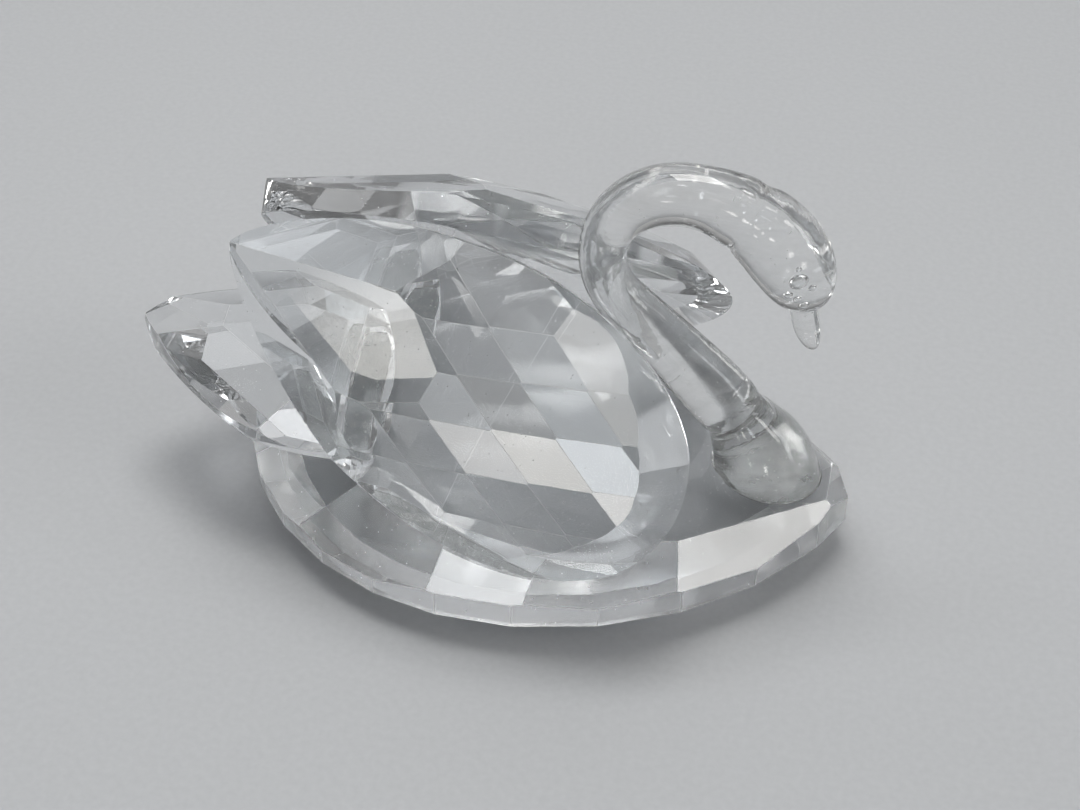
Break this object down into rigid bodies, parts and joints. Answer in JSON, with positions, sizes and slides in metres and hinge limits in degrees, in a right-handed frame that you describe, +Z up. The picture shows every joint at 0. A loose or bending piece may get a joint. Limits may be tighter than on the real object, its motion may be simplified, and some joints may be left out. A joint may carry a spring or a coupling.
{
  "type": "crystal swan figurine",
  "caption": "Swan figurine of clear cut crystal: faceted hull, teardrop wings with a net of facets, pointed tail and a bent glass neck with head and beak, bonded with clear adhesive.",
  "frame": {"origin": "on the flat rest face under the hull, in the middle plane, halfway between bow and stern of the hull", "axes": "+X forward to the swan's breast, +Y to its left, +Z up; the middle plane is y = 0"},
  "size_m": [0.1076, 0.0644, 0.0628],
  "materials": {
    "hull_crystal": "clear crystal, cut and polished facets",
    "wing_crystal": "clear crystal, cut and polished facets",
    "tail_crystal": "clear crystal, cut and polished facets",
    "neck_glass": "clear drawn rod, fire-polished",
    "adhesive": "cured clear adhesive, slightly hazy"
  },
  "bodies": {
    "root": {"hull": "hull_crystal", "right_wing": "wing_crystal", "left_wing": "wing_crystal", "tail": "tail_crystal", "neck_and_head": "neck_glass", "right_wing_bond": "adhesive", "left_wing_bond": "adhesive", "tail_bond": "adhesive", "neck_bond": "adhesive"}
  },
  "joints": []
}
